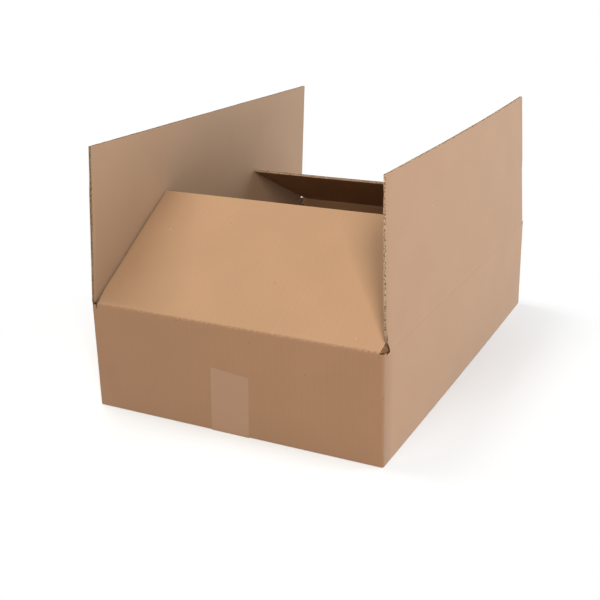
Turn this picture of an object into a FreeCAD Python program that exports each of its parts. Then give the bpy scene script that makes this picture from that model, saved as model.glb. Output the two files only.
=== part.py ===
import FreeCAD, Part
import math
import os

import Sketcher

# An open slotted carton of single-wall corrugated board, in millimetres.
# +Z is up, +Y runs along the carton's length and +X across its width.
# The origin is on the ground, under the middle of the carton.

# Driving dimensions
SIZES = {
    "box_width": 380,          # outside, across the two long walls
    "box_length": 570,         # outside, across the two end walls
    "crease_height": 135,      # ground to the creases of the top flaps
    "flap_length": 190,        # crease to free edge, all flaps
    "board": 4,                # thickness of the corrugated board
    "liner": 0.4,              # each outer paper of the board
    "medium": 0.4,             # the fluted paper between the liners
    "flute_pitch": 7.8,        # one wave of the fluted paper
    "flute_depth": 12,         # how deep the flutes are open at a cut edge
    "edge_groove": 1.5,        # depth of the open flute along a side edge
    "slot_width": 9,           # cut between two neighbouring flaps
    "slot_clearance": 0.5,     # board left clear beside a folding flap
    "corner_radius": 5,        # outside of the four upright folds
    "foot_radius": 2.5,        # outside of the folds round the bottom
    "crease_gap": 0.25,        # crease axis to the crushed tip on each side
    "crushed_tip": 0.2,        # what is left of the board at the crease
    "outer_relief": 30,        # degrees from mid-board to the crushed outside
    "inner_relief": 43,        # the same on the inside of the fold
    "layer_gap": 0.5,          # between the two layers of bottom flaps
    "seam_gap": 1,             # between the two long bottom flaps
    "lap_width": 35,           # the glued lap inside one corner
    "lap_drop": 8,             # crease down to the top of the glued lap
    "tape_width": 50,
    "tape_film": 0.1,
    "tape_rise": 79,           # how far the tape runs up each end wall
    "tape_offset": -2,         # middle of the tape from the middle of the wall
    "tape_clearance": 0.2,     # each side of the tape in its pressed strip
    "tape_slack": 0.7,         # how much tighter the tape bends than the fold
    "near_flap_rise": 33.5,    # degrees above level, half folded in
    "far_flap_rise": 25.5,
    "side_flap_lean": 0.5,     # degrees inward of upright
}

# How far the crushed score reaches from its axis, outside and inside
CRUSH = "(sizes.board - sizes.crushed_tip) / 2"
OUTER_RUN = f"(sizes.crease_gap + {CRUSH} / tan(sizes.outer_relief * 1deg))"
INNER_RUN = f"(sizes.crease_gap + {CRUSH} / tan(sizes.inner_relief * 1deg))"
# A flap's side edge from the outer face of the wall round the corner
SLOT_INSET = "(sizes.board / 2 + sizes.slot_width / 2)"
END_SPAN = f"(sizes.box_width - 2 * {SLOT_INSET})"
SIDE_SPAN = f"(sizes.box_length - 2 * {SLOT_INSET})"
HALF_WIDTH = "(sizes.box_width / 2)"
HALF_LENGTH = "(sizes.box_length / 2)"
# The inner bottom flaps lie on the outer ones
INNER_LAYER = "(sizes.board + sizes.layer_gap)"

# A cutting sketch reaches this far past the face that it cuts
OVERCUT = 1
# Two places nearer than this are the same place
SAME = 1e-6


def make_sheet(doc):
    sheet = doc.addObject("Spreadsheet::Sheet", "sizes")
    for row, (alias, size) in enumerate(SIZES.items(), start=1):
        sheet.set(f"A{row}", alias.replace("_", " "))
        sheet.set(f"B{row}", str(size))
        sheet.setAlias(f"B{row}", alias)
    doc.recompute()
    return sheet


def number(body, expression):
    """What an expression on the sheet comes to now."""
    value = body.evalExpression(expression)
    return float(getattr(value, "Value", value))


def origin_plane(body, role):
    return next(item for item in body.Origin.OriginFeatures if item.Role == role)


def driven_sketch(body, name, plane, outlines, height="0"):
    """A sketch of closed outlines whose corners are all bound to the sheet."""
    sketch = body.newObject("Sketcher::SketchObject", name)
    sketch.AttachmentSupport = [(origin_plane(body, plane), "")]
    sketch.MapMode = "FlatFace"
    sketch.setExpression("AttachmentOffset.Base.z", height)
    for corners in outlines:
        first = sketch.GeometryCount
        points = [FreeCAD.Vector(number(body, across), number(body, up), 0) for across, up in corners]
        for start, end in zip(points, points[1:] + points[:1]):
            sketch.addGeometry(Part.LineSegment(start, end))
        for step, (corner, point) in enumerate(zip(corners, points)):
            line = first + step
            following = first + (step + 1) % len(corners)
            sketch.addConstraint(Sketcher.Constraint("Coincident", line, 2, following, 1))
            for axis, expression, distance in zip(("DistanceX", "DistanceY"), corner, point):
                place = sketch.addConstraint(Sketcher.Constraint(axis, -1, 1, line, 1, distance))
                sketch.setExpression(f"Constraints[{place}]", expression)
    return sketch


def rectangle(left, right, low, high):
    return [(left, low), (right, low), (right, high), (left, high)]


def pad(body, name, sketch, length, side="One side"):
    feature = body.newObject("PartDesign::Pad", name)
    feature.Profile = sketch
    feature.SideType = side
    feature.setExpression("Length", length)
    return feature


def pocket(body, name, sketch, depth, side="One side"):
    feature = body.newObject("PartDesign::Pocket", name)
    feature.Profile = sketch
    feature.SideType = side
    feature.setExpression("Length", depth)
    return feature


def fillet_edges(body, name, base, chosen, radius):
    """Round the edges of a feature that pass the test given."""
    body.Document.recompute()
    names = [f"Edge{place}" for place, edge in enumerate(base.Shape.Edges, start=1) if chosen(edge)]
    feature = body.newObject("PartDesign::Fillet", name)
    feature.Base = (base, names)
    feature.setExpression("Radius", radius)
    return feature


def mirrored(corners):
    """The same outline on the other side of the upright axis."""
    return [(f"-({across})", up) for across, up in reversed(corners)]


def crease_lip(outer):
    """A wall's crushed upper edge, from its outer face to its inner face."""
    middle = f"{outer} - sizes.board / 2"
    return [
        (outer, f"sizes.crease_height - {OUTER_RUN}"),
        (f"{middle} + sizes.crushed_tip / 2", "sizes.crease_height - sizes.crease_gap"),
        (f"{middle} - sizes.crushed_tip / 2", "sizes.crease_height - sizes.crease_gap"),
        (f"{outer} - sizes.board", f"sizes.crease_height - {INNER_RUN}"),
    ]


def side_wall_outline():
    """A long wall and its bottom flap, the outer one, which ends at the seam."""
    return [
        (HALF_WIDTH, "0"),
        *crease_lip(HALF_WIDTH),
        (f"{HALF_WIDTH} - sizes.board", "sizes.board"),
        ("sizes.seam_gap / 2", "sizes.board"),
        ("sizes.seam_gap / 2", "0"),
    ]


def end_wall_outline():
    """An end wall and its bottom flap, the inner one."""
    inside = f"{HALF_LENGTH} - sizes.board"
    free_edge = f"{HALF_LENGTH} - sizes.board / 2 - sizes.flap_length"
    layer_top = f"{INNER_LAYER} + sizes.board"
    return [
        (HALF_LENGTH, "0"),
        *crease_lip(HALF_LENGTH),
        (inside, layer_top),
        (free_edge, layer_top),
        (free_edge, INNER_LAYER),
        (inside, INNER_LAYER),
        (inside, "0"),
    ]


def wall_band(body):
    """The four walls as one folded band, up to the foot of the slots."""
    inside_width = f"({HALF_WIDTH} - sizes.board)"
    inside_length = f"({HALF_LENGTH} - sizes.board)"
    outlines = [
        rectangle(f"-{HALF_WIDTH}", HALF_WIDTH, f"-{HALF_LENGTH}", HALF_LENGTH),
        rectangle(f"-{inside_width}", inside_width, f"-{inside_length}", inside_length),
    ]
    sketch = driven_sketch(body, "wall_plan", "XY_Plane", outlines)
    band = pad(body, "upright_walls", sketch, "sizes.crease_height")
    width = number(body, HALF_WIDTH)
    length = number(body, HALF_LENGTH)

    def upright_corner(edge):
        box = edge.BoundBox
        at_corner = math.isclose(abs(box.Center.x), width) and math.isclose(abs(box.Center.y), length)
        return at_corner and box.ZLength > SAME

    fillet_edges(body, "upright_folds", band, upright_corner, "sizes.corner_radius")


def cut_crease_seats(body):
    """Room in the band for the crushed score of each flap, with clear sides."""
    low = f"sizes.crease_height - {OUTER_RUN}"
    high = f"sizes.crease_height + {OVERCUT}"
    end_reach = f"({END_SPAN} / 2 + sizes.slot_clearance)"
    side_reach = f"({SIDE_SPAN} / 2 + sizes.slot_clearance)"
    end_outline = rectangle(f"-{end_reach}", end_reach, low, high)
    end_seat = driven_sketch(body, "end_seat", "XZ_Plane", [end_outline])
    pocket(body, "end_crease_seats", end_seat, f"sizes.box_length + {OVERCUT}", "Symmetric")
    side_outline = rectangle(f"-{side_reach}", side_reach, low, high)
    side_seat = driven_sketch(body, "side_seat", "YZ_Plane", [side_outline])
    pocket(body, "side_crease_seats", side_seat, f"sizes.box_width + {OVERCUT}", "Symmetric")


def glue_lap(body):
    """The lap that closes the band, glued inside the left wall at the far corner."""
    outer = f"-{HALF_WIDTH} + sizes.board"
    corner = f"{HALF_LENGTH} - sizes.board"
    outline = rectangle(outer, f"{outer} + sizes.board", f"{corner} - sizes.lap_width", corner)
    foot = f"{INNER_LAYER} + sizes.board + sizes.layer_gap"
    sketch = driven_sketch(body, "lap_plan", "XY_Plane", [outline], height=foot)
    pad(body, "glued_lap", sketch, f"sizes.crease_height - sizes.lap_drop - ({foot})")


def tape_strip(body):
    """The strip pressed into the bottom, as deep as the tape that lies in it."""
    reach = "(sizes.tape_width / 2 + sizes.tape_clearance)"
    left = f"sizes.tape_offset - {reach}"
    right = f"sizes.tape_offset + {reach}"
    outline = rectangle(left, right, f"-{OVERCUT}", "sizes.tape_film")
    sketch = driven_sketch(body, "strip_section", "XZ_Plane", [outline])
    return pocket(body, "pressed_strip", sketch, f"sizes.box_length + {OVERCUT}", "Symmetric")


def make_carton(doc):
    """Four walls, the glued lap and the four bottom flaps, folded from one sheet."""
    body = doc.addObject("PartDesign::Body", "carton")
    wall_band(body)
    cut_crease_seats(body)
    side = side_wall_outline()
    side_sketch = driven_sketch(body, "side_section", "XZ_Plane", [side, mirrored(side)])
    pad(body, "long_walls", side_sketch, SIDE_SPAN, "Symmetric")
    end = end_wall_outline()
    end_sketch = driven_sketch(body, "end_section", "YZ_Plane", [end, mirrored(end)])
    walls = pad(body, "end_walls", end_sketch, END_SPAN, "Symmetric")
    width = number(body, HALF_WIDTH)
    length = number(body, HALF_LENGTH)

    def bottom_fold(edge):
        box = edge.BoundBox
        on_side = math.isclose(max(abs(box.XMin), abs(box.XMax)), width)
        on_end = math.isclose(max(abs(box.YMin), abs(box.YMax)), length)
        return abs(box.ZMax) < SAME and (on_side or on_end)

    fillet_edges(body, "bottom_folds", walls, bottom_fold, "sizes.foot_radius")
    glue_lap(body)
    body.Tip = tape_strip(body)
    return body


def flute_pair(start):
    """Two neighbouring flutes, one open to each liner."""
    inside = "(sizes.board / 2 - sizes.liner)"
    slope = "(sizes.flute_pitch / 2 - sizes.medium)"
    outlines = []
    for shift, base in (("0", f"-{inside}"), ("sizes.flute_pitch / 2", inside)):
        apex = f"{inside} - sizes.medium" if base.startswith("-") else f"-({inside} - sizes.medium)"
        middle = f"{start} + {shift}"
        outlines.append([(f"{middle} - {slope}", base), (f"{middle} + {slope}", base), (middle, apex)])
    return outlines


def make_flap(doc, name, span, turn, hinge_x, hinge_y, lean):
    """One top flap: local X runs along its crease, local Z from crease to free edge."""
    body = doc.addObject("PartDesign::Body", name)
    outline = [
        ("-sizes.crushed_tip / 2", "sizes.crease_gap"),
        ("sizes.crushed_tip / 2", "sizes.crease_gap"),
        ("sizes.board / 2", INNER_RUN),
        ("sizes.board / 2", "sizes.flap_length"),
        ("-sizes.board / 2", "sizes.flap_length"),
        ("-sizes.board / 2", OUTER_RUN),
    ]
    section = driven_sketch(body, f"{name}_section", "YZ_Plane", [outline])
    pad(body, f"{name}_board", section, span, "Symmetric")

    groove_half = "(sizes.board / 2 - sizes.liner)"
    groove_bed = f"({span} / 2 - sizes.edge_groove)"
    past_edge = f"({span} / 2 + {OVERCUT})"
    grooves = [
        rectangle(groove_bed, past_edge, f"-{groove_half}", groove_half),
        rectangle(f"-{past_edge}", f"-{groove_bed}", f"-{groove_half}", groove_half),
    ]
    groove_plan = driven_sketch(body, f"{name}_edges", "XY_Plane", grooves, height="sizes.flap_length")
    pocket(body, f"{name}_side_flutes", groove_plan, f"sizes.flap_length - {OUTER_RUN}")

    margin = "(sizes.edge_groove + sizes.medium)"
    count = f"floor(({span} - 2 * {margin}) / sizes.flute_pitch - 0.5)"
    start = f"-({count} - 0.5) * sizes.flute_pitch / 2"
    flutes = driven_sketch(body, f"{name}_flutes", "XY_Plane", flute_pair(start), height="sizes.flap_length")
    cut = pocket(body, f"{name}_open_flutes", flutes, "sizes.flute_depth")
    row = body.newObject("PartDesign::LinearPattern", f"{name}_flute_row")
    row.Originals = [cut]
    row.Direction = (flutes, ["H_Axis"])
    row.Mode = "Spacing"
    row.setExpression("Offset", "sizes.flute_pitch")
    row.setExpression("Occurrences", count)
    body.Tip = row

    hinge = f"vector({hinge_x}; {hinge_y}; sizes.crease_height)"
    body.setExpression("Placement", f"placement({hinge}; rotation({turn}; 0; -({lean})))")
    return body


def make_flaps(doc):
    side_hinge = f"({HALF_WIDTH} - sizes.board / 2)"
    end_hinge = f"({HALF_LENGTH} - sizes.board / 2)"
    return [
        make_flap(doc, "near_end_flap", END_SPAN, 0, "0", f"-{end_hinge}", "90 - sizes.near_flap_rise"),
        make_flap(doc, "far_end_flap", END_SPAN, 180, "0", end_hinge, "90 - sizes.far_flap_rise"),
        make_flap(doc, "right_side_flap", SIDE_SPAN, 90, side_hinge, "0", "sizes.side_flap_lean"),
        make_flap(doc, "left_side_flap", SIDE_SPAN, -90, f"-{side_hinge}", "0", "sizes.side_flap_lean"),
    ]


def make_tape(doc):
    """One strip of tape over the bottom seam and up both end walls."""
    body = doc.addObject("PartDesign::Body", "seam_tape")
    skin = f"({HALF_LENGTH} + sizes.tape_film)"
    outline = [
        (f"-{skin}", "0"),
        (skin, "0"),
        (skin, "sizes.tape_rise"),
        (HALF_LENGTH, "sizes.tape_rise"),
        (HALF_LENGTH, "sizes.tape_film"),
        (f"-{HALF_LENGTH}", "sizes.tape_film"),
        (f"-{HALF_LENGTH}", "sizes.tape_rise"),
        (f"-{skin}", "sizes.tape_rise"),
    ]
    section = driven_sketch(body, "tape_section", "YZ_Plane", [outline])
    strip = pad(body, "tape_strip_length", section, "sizes.tape_width", "Symmetric")
    film = number(body, "sizes.tape_film")
    length = number(body, HALF_LENGTH)
    bend_radius = "sizes.foot_radius - sizes.tape_slack"

    def bend(edge, reach, height):
        box = edge.BoundBox
        level = box.ZLength < SAME and math.isclose(box.Center.z, height, abs_tol=SAME)
        return level and box.YLength < SAME and math.isclose(abs(box.Center.y), reach)

    inner = fillet_edges(body, "inner_bends", strip, lambda edge: bend(edge, length, film), bend_radius)
    outer = fillet_edges(body, "outer_bends", inner, lambda edge: bend(edge, length + film, 0),
                         f"{bend_radius} + sizes.tape_film")
    body.Tip = outer
    body.setExpression("Placement.Base.x", "sizes.tape_offset")
    return body


def check_and_write(doc, bodies):
    doc.recompute()
    for item in doc.Objects:
        if "Invalid" in item.State or "Error" in item.State:
            raise RuntimeError(f"{item.Name} did not recompute: {item.State}")
    for body in bodies:
        shape = body.Shape
        if shape.isNull() or not shape.isValid() or len(shape.Solids) != 1:
            raise RuntimeError(f"{body.Label} is not one valid solid")
    os.makedirs("parts", exist_ok=True)
    for body in bodies:
        body.Shape.exportStep(f"parts/{body.Label}.step")
        print(body.Label, round(body.Shape.Volume), "cubic millimetres")


def main():
    doc = FreeCAD.newDocument("carton")
    make_sheet(doc)
    bodies = [make_carton(doc), *make_flaps(doc), make_tape(doc)]
    check_and_write(doc, bodies)


main()
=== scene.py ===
import math

import bmesh
import bpy
from mathutils import Matrix, Vector, noise


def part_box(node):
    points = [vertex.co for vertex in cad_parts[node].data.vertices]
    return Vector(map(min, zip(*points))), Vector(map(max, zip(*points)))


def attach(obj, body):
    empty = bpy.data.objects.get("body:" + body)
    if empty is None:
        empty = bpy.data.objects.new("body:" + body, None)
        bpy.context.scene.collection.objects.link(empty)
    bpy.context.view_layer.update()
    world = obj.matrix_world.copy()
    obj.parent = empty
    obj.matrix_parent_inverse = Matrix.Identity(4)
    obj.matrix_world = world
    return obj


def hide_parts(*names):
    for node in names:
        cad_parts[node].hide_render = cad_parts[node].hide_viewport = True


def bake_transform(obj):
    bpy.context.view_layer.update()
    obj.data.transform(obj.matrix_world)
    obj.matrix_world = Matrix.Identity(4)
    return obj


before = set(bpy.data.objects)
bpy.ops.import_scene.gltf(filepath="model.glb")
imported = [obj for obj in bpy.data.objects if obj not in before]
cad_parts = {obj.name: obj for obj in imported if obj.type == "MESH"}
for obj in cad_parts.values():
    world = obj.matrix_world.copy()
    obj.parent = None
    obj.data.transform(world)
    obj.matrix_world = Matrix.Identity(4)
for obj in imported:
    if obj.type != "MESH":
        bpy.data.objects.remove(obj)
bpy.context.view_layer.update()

# An open corrugated carton. Metres, +Z up, near end wall at -Y, right side wall at +X.
MM = 0.001

# Sizes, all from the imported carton
carton_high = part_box("carton")[1]
side_flap_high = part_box("right_side_flap")[1]
HALF_WIDTH = carton_high.x
HALF_LENGTH = carton_high.y
CREASE_HEIGHT = carton_high.z
SLOT_INSET = HALF_LENGTH - side_flap_high.y
FLAP_LENGTH = side_flap_high.z - CREASE_HEIGHT
TAPE_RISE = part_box("seam_tape")[1].z

# The board, its folds and its cuts
BOARD = 4 * MM
LINER = 0.35 * MM
MEDIUM = 0.3 * MM
FLUTE_PITCH = 7.8 * MM
FLUTE_STEPS = 8                 # points of the wave in one flute
LINER_STEP = FLUTE_PITCH / 4
CORNER_RADIUS = 3 * MM
FOOT_RADIUS = 1.5 * MM
FOOT_LIFT = 0.15 * MM           # the board's underside rides on the tape's film
WALL_STRIP = 5 * MM             # how far a flap's board reaches down its wall
SLOT_DROP = 0.5 * MM            # the corner slots end this far under the crease
SHEET_GAP = 0.5 * MM            # between two sheets that lie together
SEAM_HALF = 0.5 * MM            # half the gap where the outer bottom flaps meet
PANEL_BEVEL = 0.3 * MM
MEDIUM_SHORT = 0.3 * MM         # the fluted paper ends this far inside the free edge
MEDIUM_NARROW = 0.4 * MM        # and is this much narrower than the liners
TORN_SHORT = 1 * MM             # the torn paper in a cut is this much shorter than the cut
TORN_STEP = 1.3 * MM            # and has its points this far apart
TORN_DEPTH = 0.5 * MM           # it lies this far in, give or take
TORN_WANDER = 0.9 * MM
FLAP_SMOOTH = math.radians(40)  # edges bent by less than this are shaded smooth
TRAY_SMOOTH = math.radians(35)
SAME = 1e-5                     # places closer than this are the same

# How each flap stands and was cut. Its two ends are the left and the right one, seen from outside
# its wall. It is folded in by so many degrees, or leans in by so many at each end. Then come its
# length at each end, how far each end stops short of the carton's outside at the crease and at the
# free edge, with what the slot takes off besides, and how far the middle of the free edge bows in.
# Lengths, insets and bow are in millimetres.
NEAR_FLAP = {"fold": 56.5, "lengths": (187.5, 187.5), "insets": ((5.3, 9.5, 3), (3.6, 6.8, 2.2))}
FAR_FLAP = {"fold": 64.5, "lengths": (188.4, 188.6), "insets": ((6.5, 7.2, 1), (6.5, 8.2, 1))}
RIGHT_FLAP = {
    "leans": (1.1, 3.8), "lengths": (189.9, 188.7), "insets": ((7.5, 6.5, 8), (5.8, 6.5, 0)), "bow": -2}
LEFT_FLAP = {
    "leans": (3.7, 2.8), "lengths": (188.2, 190.8), "insets": ((9, 14.5, 1), (0.8, 7.7, 0)), "bow": 1.6}
FLARE_HEIGHT = 15 * MM          # each end is cut back further in the slot, up to this height
NOTCH_FLARE = 5                 # mm: an end that its slot cuts back by more is notched under the crease
NOTCH_DEPTH = 2.8 * MM          # down to here
CUT_ABOVE = 0.3 * MM            # the other ends keep their full width up to here
WALL_BULGE = 2 * MM             # the long walls stand out at mid-length
CORNER_SPREAD = 0.8 * MM        # the near left corner stands out of square
CORNER_EASE = 1.4 * MM          # the right corners are rounder towards the slots
CORNER_REACH = 22 * MM          # and the right wall bends in from here
CREASE_REACH = 2.2 * MM         # the crushed crease, to each side of its middle
INSIDE_CRUSH = 0.55             # share of its height that each face loses there
OUTSIDE_CRUSH = 0.15
SCORE_REACH = 2.6 * MM          # the dips between the flutes, to each side of the crease
FOLDED_SCORE = 0.3 * MM         # how deep they are on the outside
UPRIGHT_SCORE = 0.12 * MM
EDGE_CRUSH = 0.22               # share of its thickness that the board loses at a cut
EDGE_REACH = 2 * MM             # and how far in
CUT_BAND = 0.6 * MM             # points this near a cut wander with it
END_WANDER = 0.3 * MM
FREE_WANDER = 0.2 * MM
WARP = 0.35 * MM                # slow waves that board takes up in damp air
WARP_FROM = 40 * MM             # in full from this height up

# The glued lap and the tape
LAP_WIDTH = 35 * MM
LAP_THICKNESS = 2.5 * MM
LAP_DROP = 8 * MM               # the lap ends this far under the crease
TAPE_WIDTH = 50 * MM
TAPE_THICKNESS = 0.1 * MM
TAPE_STAND_OFF = 0.06 * MM      # middle of the film, out from the end walls
TAPE_SHIFT = -3.1 * MM          # middle of the tape from the middle of the wall, at the foot
TAPE_TILT = 2.2 * MM            # and how much further right it ends
TAPE_SLANT = 4.5 * MM           # how much lower its right corner ends
TAPE_TEAR = 0.8 * MM


# Selecting and small edit steps

def make_active(piece):
    bpy.ops.object.select_all(action="DESELECT")
    piece.select_set(True)
    bpy.context.view_layer.objects.active = piece


def select_where(piece, test, kind="verts"):
    """In edit mode, selects only what passes the test."""
    mesh = bmesh.from_edit_mesh(piece.data)
    for group in (mesh.verts, mesh.edges, mesh.faces):
        for item in group:
            item.select = False
    for item in getattr(mesh, kind):
        if test(item):
            item.select_set(True)
    mesh.select_flush_mode()
    bmesh.update_edit_mesh(piece.data)


def apply_all(piece):
    make_active(piece)
    bpy.ops.object.transform_apply(location=True, rotation=True, scale=True)


def thicken(piece, thickness, offset, rim_slot=0):
    """Gives a sheet its thickness: about its middle with offset 0, inwards with offset -1."""
    wall = piece.modifiers.new("thickness", "SOLIDIFY")
    wall.thickness = thickness
    wall.offset = offset
    wall.use_even_offset = True
    wall.material_offset_rim = rim_slot
    make_active(piece)
    bpy.ops.object.modifier_apply(modifier="thickness")


def join(pieces, name):
    make_active(pieces[0])
    for piece in pieces[1:]:
        piece.select_set(True)
    bpy.ops.object.join()
    joined = bpy.context.view_layer.objects.active
    joined.name = name
    joined.data.name = name
    return joined


# Materials

def node_of(tree, kind, **inputs):
    made = tree.nodes.new(kind)
    for name, value in inputs.items():
        made.inputs[name.replace("_", " ")].default_value = value
    return made


def maths(tree, operation, first, second):
    made = tree.nodes.new("ShaderNodeMath")
    made.operation = operation
    for socket, value in zip(made.inputs, (first, second)):
        if isinstance(value, (int, float)):
            socket.default_value = value
        else:
            tree.links.new(value, socket)
    return made.outputs[0]


def ramp(tree, factor, low, high, start=0.0, end=1.0):
    """A value that runs from start to end as the factor goes from low to high."""
    made = tree.nodes.new("ShaderNodeMapRange")
    made.inputs["From Min"].default_value = low
    made.inputs["From Max"].default_value = high
    made.inputs["To Min"].default_value = start
    made.inputs["To Max"].default_value = end
    tree.links.new(factor, made.inputs["Value"])
    return made.outputs["Result"]


def mix_colour(tree, factor, first, second, blend="MIX"):
    made = tree.nodes.new("ShaderNodeMix")
    made.data_type = "RGBA"
    made.blend_type = blend
    for socket, value in ((made.inputs[0], factor), (made.inputs[6], first), (made.inputs[7], second)):
        if isinstance(value, (int, float, tuple)):
            socket.default_value = value
        else:
            tree.links.new(value, socket)
    return made.outputs[2]


def noise_value(tree, vector, scale, detail=3.0, stretch=(1, 1, 1)):
    mapping = tree.nodes.new("ShaderNodeMapping")
    mapping.inputs["Scale"].default_value = stretch
    tree.links.new(vector, mapping.inputs["Vector"])
    made = node_of(tree, "ShaderNodeTexNoise", Scale=scale, Detail=detail)
    tree.links.new(mapping.outputs[0], made.inputs["Vector"])
    return made.outputs["Fac"]


def start_material(name):
    material = bpy.data.materials.new(name)
    material.use_nodes = True
    tree = material.node_tree
    shader = tree.nodes["Principled BSDF"]
    return material, tree, shader


FLUTE_SHOW = 0.5                # how much the flutes show through the paper, as bumps and as painted shade
CORNER_SHADE_TONE = 0.62                # painted shade: a wall darkens towards this share of its colour at its near corner
CORNER_SHADE_REACH = 26 * MM
SPECK = (0.09, 0.05, 0.03, 1)
PALE_SPECK = (0.75, 0.6, 0.45, 1)
RUBBED = (0.72, 0.52, 0.36, 1)
# painted shade of the slots, and the darker brown of the left flap's cuts
CUT_SHADE_BROWN = (0.085, 0.04, 0.014, 1)


def kraft(name, colour, above=None, ends=None, gloss=0.35, sheen=0.12):
    """Kraft paper over flutes: mottling, fibres, faint flute lines of painted shade and specks. Paper
    that shows a crease is worn pale along it, and its colour above the crease is given too, as a lit
    copy for painted light. Where the distance of a wall's ends is given, it gets painted shade
    towards the near end, where it bends into the corner there."""
    material, tree, shader = start_material(name)
    where = tree.nodes.new("ShaderNodeTexCoord")
    place = where.outputs["UV"]
    on_sheet = tree.nodes.new("ShaderNodeSeparateXYZ")
    tree.links.new(place, on_sheet.inputs[0])
    across, along = on_sheet.outputs[0], on_sheet.outputs[1]

    mottle = noise_value(tree, place, 14, 4)
    fibre = noise_value(tree, place, 900, 3)
    streak = noise_value(tree, place, 1, 3, (260, 1900, 1))
    turn = maths(tree, "MULTIPLY", across, 2 * math.pi / FLUTE_PITCH)
    flutes = maths(tree, "SINE", turn, 0)

    # painted shade of the flutes' ripple under the paper
    tone = maths(tree, "MULTIPLY", flutes, 0.012 * FLUTE_SHOW)
    for pattern, strength in ((mottle, 0.03), (fibre, 0.035), (streak, 0.03)):
        tone = maths(tree, "ADD", tone, ramp(tree, pattern, 0.3, 0.7, -strength, strength))
    tone = maths(tree, "ADD", tone, 1.0)
    shade = tree.nodes.new("ShaderNodeCombineXYZ")
    for socket in shade.inputs:
        tree.links.new(tone, socket)
    paper = (*colour, 1)
    if above:
        # painted light: a lighter colour above the crease than on the wall below
        paper = mix_colour(tree, ramp(tree, along, 0, 1.2 * MM), paper, (*above, 1))
    if ends:
        # painted shade: darker towards the near corner, where the wall bends into it
        corner_shade = ramp(tree, across, -ends, CORNER_SHADE_REACH - ends, 0.55, 0)
        corner_shaded_colour = [CORNER_SHADE_TONE * part for part in colour]
        paper = mix_colour(tree, corner_shade, paper, (*corner_shaded_colour, 1))
    toned = mix_colour(tree, 1.0, paper, shade.outputs[0], "MULTIPLY")

    cells = node_of(tree, "ShaderNodeTexVoronoi", Scale=260)
    tree.links.new(place, cells.inputs["Vector"])
    chance = tree.nodes.new("ShaderNodeSeparateColor")
    tree.links.new(cells.outputs["Color"], chance.inputs[0])
    core = ramp(tree, cells.outputs["Distance"], 0.12, 0.3, 1, 0)
    dark = maths(tree, "MULTIPLY", core, maths(tree, "GREATER_THAN", chance.outputs[0], 0.9975))
    pale = maths(tree, "MULTIPLY", core, maths(tree, "GREATER_THAN", chance.outputs[1], 0.9985))
    finished = mix_colour(tree, maths(tree, "MULTIPLY", dark, 0.55), toned, SPECK)
    finished = mix_colour(tree, maths(tree, "MULTIPLY", pale, 0.4), finished, PALE_SPECK)
    if above:
        reach = maths(tree, "ABSOLUTE", along, 0)
        near_crease = ramp(tree, reach, 0.3 * MM, 1.4 * MM, 1, 0)
        worn = ramp(tree, noise_value(tree, place, 330, 4), 0.45, 0.68, 0, 1)
        rubbed = maths(tree, "MULTIPLY", near_crease, worn)
        finished = mix_colour(tree, maths(tree, "MULTIPLY", rubbed, 0.18), finished, RUBBED)
    tree.links.new(finished, shader.inputs["Base Color"])
    shader.inputs["Roughness"].default_value = 0.82
    shader.inputs["Specular IOR Level"].default_value = gloss
    shader.inputs["Sheen Weight"].default_value = sheen
    shader.inputs["Sheen Roughness"].default_value = 0.5

    height = maths(tree, "MULTIPLY", maths(tree, "ADD", fibre, streak), 0.5)
    height = maths(tree, "ADD", height, maths(tree, "MULTIPLY", flutes, 0.25 * FLUTE_SHOW))
    bump = node_of(tree, "ShaderNodeBump", Strength=0.35, Distance=0.12 * MM)
    tree.links.new(height, bump.inputs["Height"])
    tree.links.new(bump.outputs[0], shader.inputs["Normal"])
    return material


def darker_low(tree, where, colour, upper_darkness):
    """A cut's colour: dark brown painted shade in the slot, paling upwards to the given share of
    brown at the flap's free edge.
    """
    on_sheet = tree.nodes.new("ShaderNodeSeparateXYZ")
    tree.links.new(where.outputs["UV"], on_sheet.inputs[0])
    height = on_sheet.outputs[1]
    # painted shade, deepest low in the slot
    slot = ramp(tree, height, 2 * MM, 16 * MM, 0.97, 0)
    brown = maths(tree, "MAXIMUM", slot, ramp(tree, height, 2 * MM, 70 * MM, 0.5, upper_darkness))
    return mix_colour(tree, brown, colour, CUT_SHADE_BROWN)


def cut_edge(name, upper_darkness=0.0):
    """The cut through the board, seen end on: pale torn paper, with painted shade in the gaps between
    the flutes.
    """
    material, tree, shader = start_material(name)
    where = tree.nodes.new("ShaderNodeTexCoord")
    fibre = noise_value(tree, where.outputs["Object"], 700, 4)
    gap_shade = ramp(tree, noise_value(tree, where.outputs["Object"], 580, 2), 0.52, 0.6, 0, 1)
    pulp = mix_colour(tree, fibre, (0.3, 0.215, 0.14, 1), (0.54, 0.41, 0.29, 1))
    # painted shade in the gaps
    cut = mix_colour(tree, gap_shade, pulp, (0.13, 0.062, 0.022, 1))
    tree.links.new(darker_low(tree, where, cut, upper_darkness), shader.inputs["Base Color"])
    shader.inputs["Roughness"].default_value = 0.95
    shader.inputs["Specular IOR Level"].default_value = 0.15
    bump = node_of(tree, "ShaderNodeBump", Strength=0.8, Distance=0.4 * MM)
    tree.links.new(fibre, bump.inputs["Height"])
    tree.links.new(bump.outputs[0], shader.inputs["Normal"])
    return material


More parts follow.
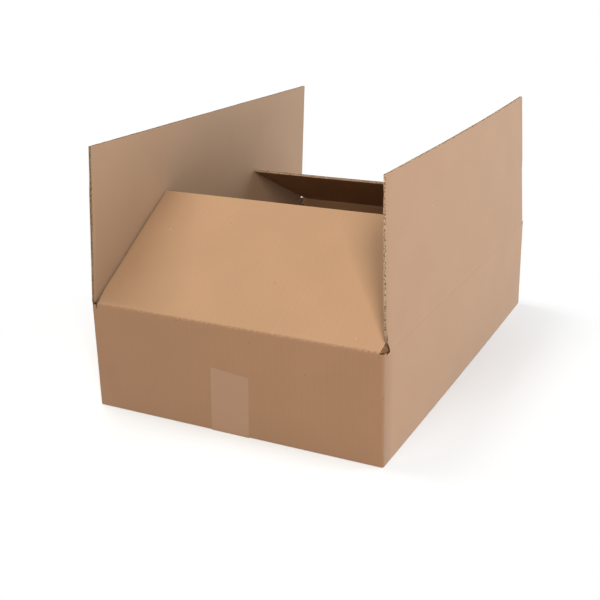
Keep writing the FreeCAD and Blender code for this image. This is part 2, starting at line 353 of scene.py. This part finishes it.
def fluted_paper(name, upper_darkness=0.0):
    """The wave of paper between the liners: rough and torn at the cuts, with painted shade where it
    is pressed in.
    """
    material, tree, shader = start_material(name)
    where = tree.nodes.new("ShaderNodeTexCoord")
    fibre = noise_value(tree, where.outputs["Object"], 800, 4)
    torn = ramp(tree, noise_value(tree, where.outputs["Object"], 540, 3), 0.42, 0.53, 0, 1)
    pulp = mix_colour(tree, fibre, (0.29, 0.205, 0.135, 1), (0.5, 0.38, 0.27, 1))
    # painted shade where the torn paper is pressed in
    cut = mix_colour(tree, torn, (0.12, 0.058, 0.02, 1), pulp)
    tree.links.new(darker_low(tree, where, cut, upper_darkness), shader.inputs["Base Color"])
    shader.inputs["Roughness"].default_value = 0.95
    shader.inputs["Specular IOR Level"].default_value = 0.15
    return material


def packing_tape(name):
    """Thin film over kraft: the end walls' colour with their painted shade, a little greyer, with a
    low sheen.
    """
    material, tree, shader = start_material(name)
    where = tree.nodes.new("ShaderNodeTexCoord")
    cloud = noise_value(tree, where.outputs["Object"], 30, 3)
    grain = noise_value(tree, where.outputs["Object"], 700, 2)
    # the end walls' painted shade, under the film
    base = mix_colour(tree, cloud, (0.266, 0.153, 0.09, 1), (0.276, 0.16, 0.094, 1))
    film = mix_colour(tree, maths(tree, "MULTIPLY", grain, 0.12), base, (0.22, 0.13, 0.078, 1))
    tree.links.new(film, shader.inputs["Base Color"])
    shader.inputs["Roughness"].default_value = 0.45
    shader.inputs["Specular IOR Level"].default_value = 0.4
    bump = node_of(tree, "ShaderNodeBump", Strength=0.15, Distance=0.1 * MM)
    tree.links.new(cloud, bump.inputs["Height"])
    tree.links.new(bump.outputs[0], shader.inputs["Normal"])
    return material


LEFT_CUT_DARKNESS = 0.62                  # how dark brown the left flap's cuts stay, up to the flap's free edge
KRAFT = (0.31, 0.17, 0.089)
# painted shade: the end walls' copy of the paper, darker than KRAFT
SHADED_END_KRAFT = (0.245, 0.132, 0.069)
# painted light: the end flaps' copy of the paper, lighter than KRAFT
LIT_FLAP_KRAFT = (0.335, 0.199, 0.111)
INSIDE_KRAFT = (0.32, 0.198, 0.118)
END_INSIDE_KRAFT = (0.335, 0.205, 0.115)
PLAIN_KRAFT = kraft("plain_kraft", KRAFT)
# painted shade: the right wall's outside darkens towards its near corner
SIDE_WALL_CORNER_SHADE_KRAFT = kraft("side_wall_corner_shade_kraft", KRAFT, ends=HALF_LENGTH)
INSIDE_FLAP_KRAFT = kraft("inside_flap_kraft", INSIDE_KRAFT)
INSIDE_END_KRAFT = kraft("inside_end_kraft", END_INSIDE_KRAFT, gloss=0.05, sheen=0)
# painted shade on the end walls' outsides
SHADED_END_WALL_KRAFT = kraft("end_wall_shaded_kraft", SHADED_END_KRAFT)
# the end flaps' outside: painted shade below the crease, painted light above it
CREASED_LIT_SHADED_KRAFT = kraft("creased_lit_shaded_kraft", SHADED_END_KRAFT, above=LIT_FLAP_KRAFT)
CUT_EDGE = cut_edge("cut_edge")
FLUTED_PAPER = fluted_paper("fluted_paper")
DARKER_CUT_EDGE = cut_edge("darker_cut_edge", LEFT_CUT_DARKNESS)
DARKER_FLUTED_PAPER = fluted_paper("darker_fluted_paper", LEFT_CUT_DARKNESS)
TAPE_FILM = packing_tape("tape_film")


# Sheets of board

def strip_sheet(name, width, columns, rows):
    """A flat sheet, its first strip a grid and each further strip extruded from the last edge."""
    bpy.ops.mesh.primitive_grid_add(x_subdivisions=columns, y_subdivisions=1, size=1)
    sheet = bpy.context.object
    sheet.name = name
    sheet.scale = (width, rows[1] - rows[0], 1)
    sheet.location = (0, (rows[0] + rows[1]) / 2, 0)
    apply_all(sheet)
    bpy.ops.object.mode_set(mode="EDIT")
    for last, following in zip(rows[1:], rows[2:]):
        select_where(
            sheet, lambda edge: all(abs(vert.co.y - last) < SAME for vert in edge.verts), "edges")
        bpy.ops.mesh.extrude_edges_move(TRANSFORM_OT_translate={"value": (0, following - last, 0)})
    bpy.ops.object.mode_set(mode="OBJECT")
    return sheet


def board_map(piece):
    """The piece's own map, in metres, which its paper follows."""
    layer = piece.data.uv_layers.active or piece.data.uv_layers.new(name="board")
    layer.name = "board"
    return layer


def lay_map(sheet):
    """Each point of a flat sheet is mapped to its own place."""
    layer = board_map(sheet)
    for loop in sheet.data.loops:
        point = sheet.data.vertices[loop.vertex_index].co
        layer.data[loop.index].uv = (point.x, point.y)


def in_metres(*places):
    return [place * MM for place in places]


# Heights of the rows of points about the crease, above which the rows are even
FOLD_ROWS = in_metres(-1.5, -1, -0.5, 0, 0.5, 1, 1.5)
LINER_ROWS = [-WALL_STRIP, *in_metres(-3.6, -2.7, -2.1), *FOLD_ROWS, *in_metres(2.1, 2.7, 3.6, 5, 9)]
MEDIUM_ROWS = [-WALL_STRIP, *in_metres(-2.7, -1.5, -0.5, 0.5, 1.5, 2.7, 5)]


def even_rows(start, end, count):
    return [start + (end - start) * step / count for step in range(1, count + 1)]


def crushed_edge(name, size, place, turn, steps, paper):
    """The board's middle at a cut edge: torn paper, pressed in by the cutting rule."""
    bpy.ops.mesh.primitive_grid_add(x_subdivisions=steps, y_subdivisions=5, size=1)
    strip = bpy.context.object
    strip.name = name
    strip.scale = (size, BOARD - 2 * LINER, 1)
    strip.rotation_euler = (math.radians(90), 0, math.radians(turn))
    strip.location = place
    apply_all(strip)
    inward = Matrix.Rotation(math.radians(turn), 3, "Z") @ Vector((0, 1, 0))
    for vert in strip.data.vertices:
        torn = noise.noise(vert.co * 420) + 0.5 * noise.noise(vert.co * 1300)
        vert.co += inward * (TORN_DEPTH + TORN_WANDER * torn)
    strip.data.materials.append(paper)
    lay_map(strip)
    thicken(strip, MEDIUM, 0)
    return strip


def flat_board(name, width, length, papers):
    """Two liners and the fluted paper between them, lying flat with the outside up."""
    outside_paper, inside_paper, edge, flutes = papers
    columns = round(width / LINER_STEP)
    liner_rows = LINER_ROWS + even_rows(LINER_ROWS[-1], length, 10)
    liners = []
    for side, level, paper in (("outer", 1, outside_paper), ("inner", -1, inside_paper)):
        liner = strip_sheet(f"{name}_{side}", width, columns, liner_rows)
        liner.location.z = level * (BOARD - LINER) / 2
        apply_all(liner)
        liner.data.materials.append(paper)
        liner.data.materials.append(edge)
        lay_map(liner)
        thicken(liner, LINER, 0, rim_slot=1)
        liners.append(liner)
    medium_rows = MEDIUM_ROWS + even_rows(MEDIUM_ROWS[-1], length - MEDIUM_SHORT, 6)
    columns = round(width / FLUTE_PITCH * FLUTE_STEPS)
    medium = strip_sheet(f"{name}_medium", width - MEDIUM_NARROW, columns, medium_rows)
    wave = BOARD / 2 - LINER - MEDIUM / 2
    for vert in medium.data.vertices:
        vert.co.z = wave * math.sin(2 * math.pi * vert.co.x / FLUTE_PITCH)
    medium.data.materials.append(flutes)
    lay_map(medium)
    thicken(medium, MEDIUM, 0)
    steps = round(width / TORN_STEP)
    edges = [crushed_edge(f"{name}_free", width - TORN_SHORT, (0, length, 0), 180, steps, flutes)]
    middle = (length - WALL_STRIP) / 2
    reach = length + WALL_STRIP - TORN_SHORT
    steps = round(reach / TORN_STEP)
    for side, turn in ((1, 90), (-1, -90)):
        place = (side * width / 2, middle, 0)
        edges.append(crushed_edge(f"{name}_end", reach, place, turn, steps, flutes))
    return join([*liners, medium, *edges], name)


def cut_to_shape(board, width, length, outside, lengths, insets):
    """Moves the ends and the free edge to where this flap was cut. The outside is half the carton's
    size along this wall."""
    for vert in board.data.vertices:
        place = vert.co
        root, top, flare = insets[0] if place.x < 0 else insets[1]
        if place.y < (-NOTCH_DEPTH if flare > NOTCH_FLARE else CUT_ABOVE):
            continue
        share = place.x / width + 0.5
        height = max(place.y, 0)
        in_slot = max(0, 1 - height / FLARE_HEIGHT)
        inset = (root + (top - root) * height / length + flare * in_slot) * MM
        place.x *= (outside - inset) / (width / 2)
        place.y *= (lengths[0] + (lengths[1] - lengths[0]) * share) * MM / length


def crush_crease(board, score):
    """The score: the inside pressed in, the outside a little scalloped between the flutes."""
    for vert in board.data.vertices:
        place = vert.co
        near = math.exp(-((place.y / CREASE_REACH) ** 2))
        if place.z < 0:
            place.z *= 1 - INSIDE_CRUSH * near
        else:
            place.z *= 1 - OUTSIDE_CRUSH * near
            ripple = noise.noise(Vector((place.x * 90, 0, 3.7)))
            between = 0.5 + 0.5 * math.cos(2 * math.pi * place.x / FLUTE_PITCH + 2 * ripple)
            place.z -= score * between * math.exp(-((place.y / SCORE_REACH) ** 2))


def rough_edges(board, width, length):
    """Cut edges are pressed thin and wander a little, as a die leaves them, and the board warps."""
    for vert in board.data.vertices:
        place = vert.co
        wander = noise.noise(place * 260)
        to_end = max(0, width / 2 - abs(place.x))
        to_free = max(0, length - place.y)
        to_cut = min(to_end, to_free)
        place.z *= 1 - EDGE_CRUSH * math.exp(-((to_cut / EDGE_REACH) ** 2))
        if abs(abs(place.x) - width / 2) < CUT_BAND:
            place.x += END_WANDER * wander
        if abs(place.y - length) < CUT_BAND:
            place.y += FREE_WANDER * wander
        height = max(place.y, 0)
        slow = noise.noise(Vector((place.x * 9, place.y * 9, width * 30)))
        place.z += WARP * slow * min(1, height / WARP_FROM)


def fold_board(board, degrees):
    """Folds the board about its crease in even steps, the outermost row first."""
    flat = [vert.co.y for vert in board.data.vertices]
    step = math.radians(degrees) / len(FOLD_ROWS)
    make_active(board)
    bpy.ops.object.mode_set(mode="EDIT")
    for row in reversed(FOLD_ROWS):
        select_where(board, lambda vert: flat[vert.index] > row + SAME)
        bpy.ops.transform.rotate(
            value=step, orient_axis="X", orient_type="GLOBAL", center_override=(0, row, 0))
    bpy.ops.object.mode_set(mode="OBJECT")


def lean_board(board, width, length, leans, bulge, bow):
    """The upright flap's lean, which changes from one end to the other, and its gentle curves."""
    for vert in board.data.vertices:
        place = vert.co
        share = place.x / width + 0.5
        middle = 1 - (2 * place.x / width) ** 2
        height = max(place.y, 0)
        lean = math.radians(leans[0] + (leans[1] - leans[0]) * share)
        place.z += bulge * middle - height * math.sin(lean) - bow * middle * (height / length) ** 2
        place.y -= height * (1 - math.cos(lean))


def spread_corner(piece):
    """The left side stands out more and more towards its near end."""
    for vert in piece.data.vertices:
        place = vert.co
        if place.x < 2 * BOARD - HALF_WIDTH:
            place.x -= CORNER_SPREAD * (0.5 - place.y / (2 * HALF_LENGTH))


def ease_corners(piece):
    """The right wall bends in towards its corners, more and more with height."""
    for vert in piece.data.vertices:
        place = vert.co
        to_corner = (HALF_LENGTH - abs(place.y)) / CORNER_REACH
        if place.x > HALF_WIDTH - SLOT_INSET + SAME and to_corner < 1:
            place.x -= CORNER_EASE * (1 - to_corner) ** 2 * min(1, place.z / CREASE_HEIGHT)


def stand_up(board, half, turn):
    """Stands the flat board up on the wall at the given turn about the carton."""
    board.rotation_euler = (math.radians(90), 0, 0)
    board.location = (0, -(half - BOARD / 2), CREASE_HEIGHT)
    apply_all(board)
    board.rotation_euler = (0, 0, math.radians(turn))
    apply_all(board)


# Each wall: how far out it stands, half its width, and its turn about the carton in degrees
NEAR_WALL = (HALF_LENGTH, HALF_WIDTH, 0)
FAR_WALL = (HALF_LENGTH, HALF_WIDTH, 180)
RIGHT_WALL = (HALF_WIDTH, HALF_LENGTH, 90)
LEFT_WALL = (HALF_WIDTH, HALF_LENGTH, -90)

# Each flap's outside, inside, cut edges and fluted paper
END_PAPERS = (CREASED_LIT_SHADED_KRAFT, INSIDE_END_KRAFT, CUT_EDGE, FLUTED_PAPER)
RIGHT_PAPERS = (PLAIN_KRAFT, INSIDE_FLAP_KRAFT, CUT_EDGE, FLUTED_PAPER)
LEFT_PAPERS = (PLAIN_KRAFT, INSIDE_FLAP_KRAFT, DARKER_CUT_EDGE, DARKER_FLUTED_PAPER)


def top_flap(name, node, body, wall, papers, lengths, insets, fold=0, leans=None, bow=0):
    """One flap's board, from its strip on the wall to its free edge, bending with the crease."""
    half, outside, turn = wall
    width = 2 * (outside - SLOT_INSET)
    board = flat_board(name, width, FLAP_LENGTH, papers)
    crush_crease(board, FOLDED_SCORE if fold else UPRIGHT_SCORE)
    rough_edges(board, width, FLAP_LENGTH)
    cut_to_shape(board, width, FLAP_LENGTH, outside, lengths, insets)
    if fold:
        fold_board(board, fold)
    else:
        lean_board(board, width, FLAP_LENGTH, leans, WALL_BULGE, bow * MM)
    stand_up(board, half, turn)
    if wall == LEFT_WALL:
        spread_corner(board)
    if wall == RIGHT_WALL:
        ease_corners(board)
    make_active(board)
    bpy.ops.object.shade_smooth_by_angle(angle=FLAP_SMOOTH)
    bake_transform(board)
    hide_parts(node)


top_flap("near_flap_board", "near_end_flap", "near_flap", NEAR_WALL, END_PAPERS, **NEAR_FLAP)
top_flap("far_flap_board", "far_end_flap", "far_flap", FAR_WALL, END_PAPERS, **FAR_FLAP)
top_flap("right_flap_board", "right_side_flap", "right_flap", RIGHT_WALL, RIGHT_PAPERS, **RIGHT_FLAP)
top_flap("left_flap_board", "left_side_flap", "left_flap", LEFT_WALL, LEFT_PAPERS, **LEFT_FLAP)


# The folded tray of walls and bottom

def bisect_at(tray, place, normal):
    bpy.ops.mesh.select_all(action="SELECT")
    bpy.ops.mesh.bisect(plane_co=place, plane_no=normal)


def folded_tray():
    """The walls and the outer bottom flaps: one shell, open at the top, slit where the board is cut."""
    rim = CREASE_HEIGHT - SLOT_DROP
    bpy.ops.mesh.primitive_cube_add(size=1, location=(0, 0, (rim + FOOT_LIFT) / 2))
    tray = bpy.context.object
    tray.name = "carton_tray"
    tray.scale = (2 * HALF_WIDTH, 2 * HALF_LENGTH, rim - FOOT_LIFT)
    apply_all(tray)
    bpy.ops.object.mode_set(mode="EDIT")
    bpy.ops.mesh.select_mode(type="FACE")
    select_where(tray, lambda face: face.normal.z > 0.5, "faces")
    bpy.ops.mesh.delete(type="ONLY_FACE")
    bpy.ops.mesh.select_mode(type="EDGE")
    select_where(
        tray, lambda edge: abs(edge.verts[0].co.z - edge.verts[1].co.z) > SAME, "edges")
    bpy.ops.mesh.bevel(offset=CORNER_RADIUS, offset_type="OFFSET", segments=5, affect="EDGES")
    foot = min(vert.co.z for vert in bmesh.from_edit_mesh(tray.data).verts)
    select_where(
        tray, lambda edge: all(abs(vert.co.z - foot) < SAME for vert in edge.verts), "edges")
    bpy.ops.mesh.bevel(offset=FOOT_RADIUS, offset_type="OFFSET", segments=4, affect="EDGES")

    slot_x = HALF_WIDTH - SLOT_INSET
    slot_y = HALF_LENGTH - SLOT_INSET
    end_gap = HALF_LENGTH - BOARD
    strip_foot = CREASE_HEIGHT - WALL_STRIP
    for step in range(-3, 4):
        bisect_at(tray, (0, step * HALF_LENGTH / 4, 0), (0, 1, 0))
    for level in (strip_foot, CREASE_HEIGHT / 3, CREASE_HEIGHT * 2 / 3):
        bisect_at(tray, (0, 0, level), (0, 0, 1))
    for across in (-slot_x, -SEAM_HALF, SEAM_HALF, slot_x):
        bisect_at(tray, (across, 0, 0), (1, 0, 0))
    eased = [HALF_LENGTH - reach for reach in (8 * MM, 14 * MM, CORNER_REACH)]
    for along in (-end_gap, -slot_y, slot_y, end_gap, *eased, *[-along for along in eased]):
        bisect_at(tray, (0, along, 0), (0, 1, 0))

    def is_open(face):
        middle = face.calc_center_median()
        above = middle.z > strip_foot and (abs(middle.x) < slot_x or abs(middle.y) < slot_y)
        bottom = middle.z < foot + 0.5 * MM and abs(middle.x) < slot_x
        seam_slit = bottom and abs(middle.x) < SEAM_HALF and abs(middle.y) < slot_y
        end_slit = bottom and slot_y < abs(middle.y) < end_gap
        return above or seam_slit or end_slit

    bpy.ops.mesh.select_mode(type="FACE")
    select_where(tray, is_open, "faces")
    bpy.ops.mesh.delete(type="FACE")
    bpy.ops.object.mode_set(mode="OBJECT")
    papers = (PLAIN_KRAFT, CUT_EDGE, SHADED_END_WALL_KRAFT, SIDE_WALL_CORNER_SHADE_KRAFT)
    for paper in papers:
        tray.data.materials.append(paper)
    thicken(tray, BOARD, -1, rim_slot=papers.index(CUT_EDGE))
    for face in tray.data.polygons:
        if face.material_index != papers.index(PLAIN_KRAFT):
            continue
        # painted shade: the end walls' outsides, and the right wall's outside towards its near corner
        if abs(face.normal.y) > 0.7 and face.normal.y * face.center.y > 0:
            face.material_index = papers.index(SHADED_END_WALL_KRAFT)
        elif face.normal.x > 0.5 and face.center.x > 0:
            face.material_index = papers.index(SIDE_WALL_CORNER_SHADE_KRAFT)
    return tray


def bulge_walls(piece):
    """The long walls stand out a little at mid-length, most at the crease."""
    for vert in piece.data.vertices:
        place = vert.co
        if abs(place.x) > HALF_WIDTH - 2 * BOARD:
            middle = 1 - min(1, abs(place.y) / (HALF_LENGTH - SLOT_INSET)) ** 2
            share = 0.45 + 0.55 * place.z / CREASE_HEIGHT
            place.x += math.copysign(WALL_BULGE * middle * share, place.x)


def map_walls(piece):
    """Upright faces are mapped along the crease and up from it, and level ones by their place."""
    layer = board_map(piece)
    for face in piece.data.polygons:
        for loop in face.loop_indices:
            point = piece.data.vertices[piece.data.loops[loop].vertex_index].co
            if abs(face.normal.z) > 0.7:
                layer.data[loop].uv = (point.x, point.y)
            elif abs(face.normal.x) > abs(face.normal.y):
                layer.data[loop].uv = (point.y, point.z - CREASE_HEIGHT)
            else:
                layer.data[loop].uv = (point.x, point.z - CREASE_HEIGHT)


X_AXIS = 0
Z_AXIS = 2


def board_panel(name, low, high, normal_axis):
    """A plain panel of board between two corners: paper on the two faces that the axis goes through,
    and cut edges around them."""
    middle = [(a + b) / 2 for a, b in zip(low, high)]
    size = [b - a for a, b in zip(low, high)]
    bpy.ops.mesh.primitive_cube_add(size=1, location=middle)
    panel = bpy.context.object
    panel.name = name
    panel.scale = size
    apply_all(panel)
    bpy.ops.object.mode_set(mode="EDIT")
    bpy.ops.mesh.select_all(action="SELECT")
    bpy.ops.mesh.bevel(offset=PANEL_BEVEL, segments=2, affect="EDGES")
    bpy.ops.object.mode_set(mode="OBJECT")
    panel.data.materials.append(PLAIN_KRAFT)
    panel.data.materials.append(CUT_EDGE)
    for face in panel.data.polygons:
        face.material_index = 0 if abs(face.normal[normal_axis]) > 0.5 else 1
    map_walls(panel)
    return panel


tray = folded_tray()
bulge_walls(tray)
spread_corner(tray)
ease_corners(tray)
map_walls(tray)
make_active(tray)
bpy.ops.object.shade_smooth_by_angle(angle=TRAY_SMOOTH)
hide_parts("carton")

# The inner bottom flaps, and the lap in the far left corner
inner_level = BOARD + SHEET_GAP
inner_side = HALF_WIDTH - SLOT_INSET
inner_end = HALF_LENGTH - BOARD
inner_free = HALF_LENGTH - BOARD / 2 - FLAP_LENGTH
inner_top = inner_level + BOARD
near_low = (-inner_side, -inner_end, inner_level)
near_high = (inner_side, -inner_free, inner_top)
near_bottom = board_panel("bottom_flap_near", near_low, near_high, Z_AXIS)
far_low = (-inner_side, inner_free, inner_level)
far_high = (inner_side, inner_end, inner_top)
far_bottom = board_panel("bottom_flap_far", far_low, far_high, Z_AXIS)
lap_low = (-HALF_WIDTH + BOARD, inner_end - LAP_WIDTH, inner_top + SHEET_GAP)
lap_high = (-HALF_WIDTH + BOARD + LAP_THICKNESS, inner_end, CREASE_HEIGHT - LAP_DROP)
lap = board_panel("glued_lap", lap_low, lap_high, X_AXIS)
for piece in (tray, near_bottom, far_bottom, lap):
    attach(piece, "box")


# The tape on the near wall, under the seam and on the far wall

def seam_tape():
    """One strip of film, turned up at both ends, slanted and a little torn where it ends."""
    bpy.ops.mesh.primitive_plane_add(size=1, location=(0, 0, TAPE_THICKNESS / 2))
    tape = bpy.context.object
    tape.name = "seam_tape_strip"
    tape.scale = (TAPE_WIDTH, 2 * (HALF_LENGTH + TAPE_STAND_OFF), 1)
    apply_all(tape)
    bpy.ops.object.mode_set(mode="EDIT")
    bpy.ops.mesh.select_mode(type="EDGE")
    for side in (-1, 1):
        reach = side * (HALF_LENGTH + TAPE_STAND_OFF)

        def is_end(edge):
            return all(
                abs(vert.co.y - reach) < SAME and vert.co.z < TAPE_THICKNESS for vert in edge.verts)

        select_where(tape, is_end, "edges")
        bpy.ops.mesh.extrude_edges_move(TRANSFORM_OT_translate={"value": (0, 0, TAPE_RISE)})
    bpy.ops.mesh.select_all(action="SELECT")
    strips = 6
    for step in range(1, strips):
        bisect_at(tape, ((step / strips - 0.5) * TAPE_WIDTH, 0, 0), (1, 0, 0))
    bpy.ops.object.mode_set(mode="OBJECT")
    for vert in tape.data.vertices:
        place = vert.co
        share = place.z / TAPE_RISE
        place.x += TAPE_SHIFT + share * TAPE_TILT
        if share > 0.5:
            torn = TAPE_TEAR * noise.noise(Vector((place.x * 150, 0, 1)))
            place.z -= TAPE_SLANT * place.x / TAPE_WIDTH - torn
    tape.data.materials.append(TAPE_FILM)
    thicken(tape, TAPE_THICKNESS, 0)
    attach(tape, "box")
    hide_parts("seam_tape")


seam_tape()


# Floor, light and camera

PALE_FLOOR = (0.83, 0.85, 0.88, 1)
SKY = (0.14, 0.145, 0.15, 1)    # the upper world
HORIZON = (1.0, 1.0, 1.0, 1.0)
SKY_FROM = 0.25                 # how steep a look upwards meets the full sky colour
GLOW_FROM = 0.2                 # the floor starts to glow this far from the middle, in metres
GLOW_TO = 0.5                   # and is all glow from here
AIM = (0, 0, 0.15)              # what the lights point at


def floor():
    """A pale floor that turns to a plain white glow away from the carton."""
    bpy.ops.mesh.primitive_plane_add(size=40)
    ground = bpy.context.object
    ground.name = "floor"
    material, tree, shader = start_material("pale_floor")
    shader.inputs["Base Color"].default_value = PALE_FLOOR
    shader.inputs["Roughness"].default_value = 0.9
    shader.inputs["Specular IOR Level"].default_value = 0.1
    where = tree.nodes.new("ShaderNodeTexCoord")
    distance = tree.nodes.new("ShaderNodeVectorMath")
    distance.operation = "LENGTH"
    tree.links.new(where.outputs["Object"], distance.inputs[0])
    glow = tree.nodes.new("ShaderNodeEmission")
    mixed = tree.nodes.new("ShaderNodeMixShader")
    tree.links.new(ramp(tree, distance.outputs["Value"], GLOW_FROM, GLOW_TO), mixed.inputs[0])
    tree.links.new(shader.outputs[0], mixed.inputs[1])
    tree.links.new(glow.outputs[0], mixed.inputs[2])
    tree.links.new(mixed.outputs[0], tree.nodes["Material Output"].inputs["Surface"])
    ground.data.materials.append(material)


def area_light(name, place, size, power, colour):
    """A soft rectangular light, aimed at the carton."""
    light = bpy.data.lights.new(name, "AREA")
    light.shape = "RECTANGLE"
    light.size = size[0]
    light.size_y = size[1]
    light.energy = power
    light.color = colour
    lamp = bpy.data.objects.new(name, light)
    bpy.context.scene.collection.objects.link(lamp)
    lamp.location = place
    lamp.rotation_euler = (Vector(AIM) - Vector(place)).to_track_quat("-Z", "Y").to_euler()


def studio():
    """A bright horizon under a dim sky, and four soft lights."""
    world = bpy.data.worlds.new("studio")
    bpy.context.scene.world = world
    world.use_nodes = True
    tree = world.node_tree
    backdrop = tree.nodes["Background"]
    where = tree.nodes.new("ShaderNodeTexCoord")
    direction = tree.nodes.new("ShaderNodeSeparateXYZ")
    tree.links.new(where.outputs["Generated"], direction.inputs[0])
    rise = ramp(tree, direction.outputs[2], 0.0, SKY_FROM)
    tree.links.new(mix_colour(tree, rise, HORIZON, SKY), backdrop.inputs["Color"])
    backdrop.inputs["Strength"].default_value = 1.0
    area_light("top_softbox", (-0.85, 0.1, 2.5), (1.2, 1.2), 49, (1.0, 0.97, 0.88))
    area_light("key_softbox", (1.185, -1.86, 1.5), (0.5, 1.4), 54, (1.0, 0.945, 0.87))
    area_light("front_softbox", (-0.15, -2.4, 1.05), (0.6, 0.3), 11, (1.0, 0.93, 0.82))
    area_light("window_softbox", (2.3, 1.2, 0.75), (1.4, 1.4), 60, (0.785, 0.91, 1.0))


def camera():
    """The photograph's view: to the right of the near end, looking down a little."""
    azimuth, elevation, roll = 26.825, 20.128, -0.968
    place = (0.5361, -1.1641, 0.5426)
    lens = bpy.data.cameras.new("camera")
    lens.lens = 58.83
    lens.sensor_width = 36
    lens.clip_end = 50
    seen = bpy.data.objects.new("camera", lens)
    bpy.context.scene.collection.objects.link(seen)
    round_about = Matrix.Rotation(math.radians(azimuth), 4, "Z")
    tilted = Matrix.Rotation(math.radians(90 - elevation), 4, "X")
    rolled = Matrix.Rotation(math.radians(roll), 4, "Z")
    seen.matrix_world = Matrix.Translation(place) @ round_about @ tilted @ rolled
    bpy.context.scene.camera = seen


floor()
studio()
camera()
bpy.context.scene.view_settings.view_transform = "Standard"
